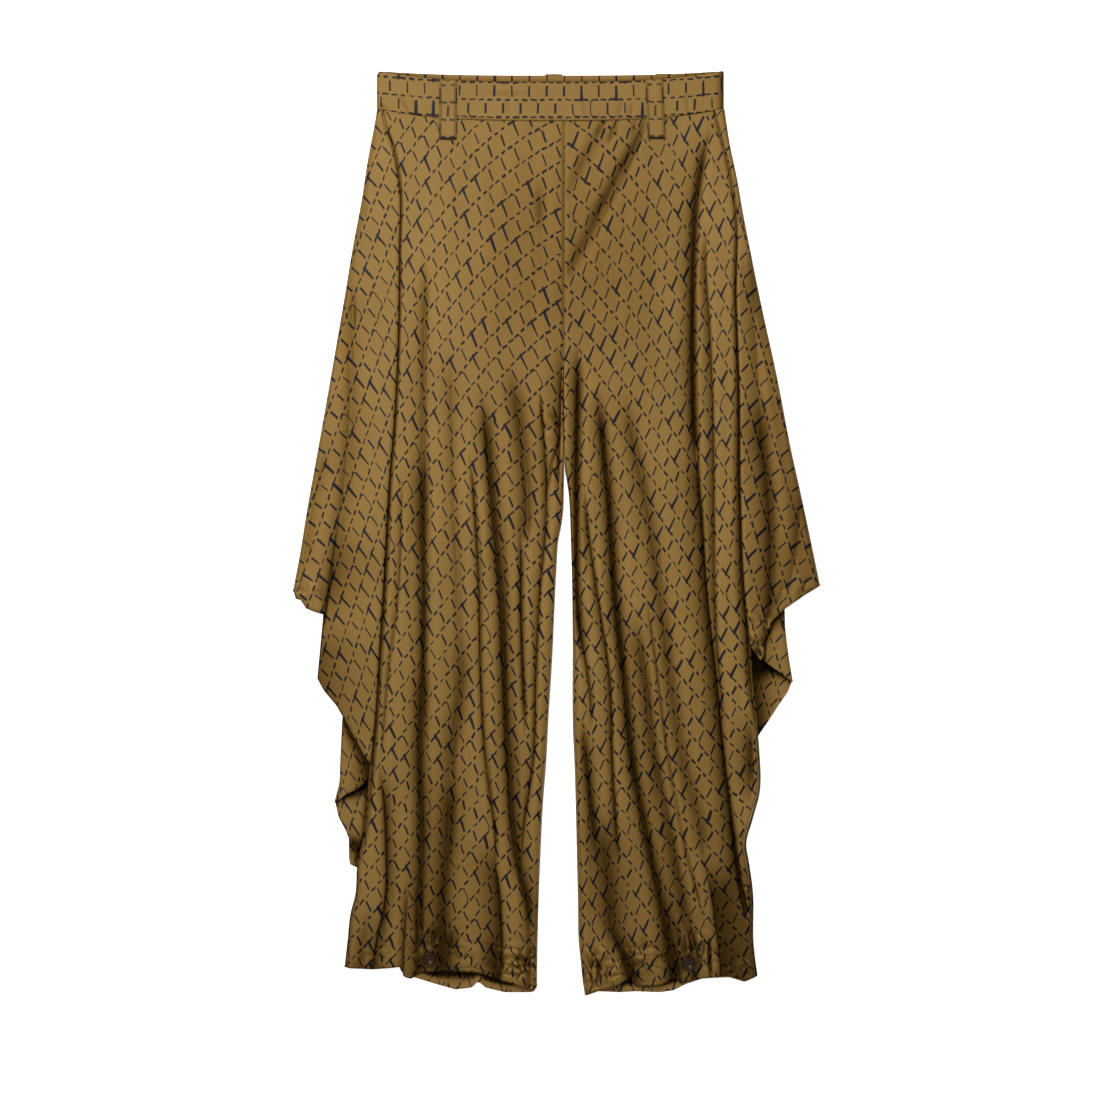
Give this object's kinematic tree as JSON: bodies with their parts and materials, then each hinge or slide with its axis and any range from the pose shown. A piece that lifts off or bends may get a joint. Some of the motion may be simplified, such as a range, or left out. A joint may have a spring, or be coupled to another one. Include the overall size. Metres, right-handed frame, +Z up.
{
  "type": "palazzo pants",
  "caption": "Wide bias-cut satin palazzo pants laid flat, front up, with a flat waistband, belt loops, draped godets at the side seams and a button at each hem.",
  "frame": {"origin": "on the surface that the garment lies on, under the middle of its bounding box", "axes": "+X to the viewer's right across the garment, +Y up the garment from the hems to the waistband, +Z up from the surface through the front"},
  "size_m": [0.5666, 0.993, 0.0103],
  "materials": {
    "leg_satin": "bronze-olive bias satin with a sparse dark print of dashes and uprights",
    "drape_satin": "bronze-olive satin with the same print, its rows nearer level",
    "waistband_satin": "bronze-olive satin with the print square to the band",
    "loop_satin": "bronze-olive satin with zigzag-stitched edges",
    "button_horn": "dark brown polished horn, turned with rings"
  },
  "bodies": {
    "root": {"leg_front_left": "leg_satin", "leg_front_right": "leg_satin", "leg_back_left": "leg_satin", "leg_back_right": "leg_satin", "drape_left_upper": "drape_satin", "drape_left_lower": "drape_satin", "drape_right_upper": "drape_satin", "drape_right_lower": "drape_satin", "waistband_front": "waistband_satin", "waistband_back": "waistband_satin", "belt_loop_front_left": "loop_satin", "belt_loop_front_right": "loop_satin", "belt_loop_back_left": "loop_satin", "belt_loop_back_centre": "loop_satin", "belt_loop_back_right": "loop_satin", "hem_button_left": "button_horn", "hem_button_right": "button_horn"}
  },
  "joints": []
}
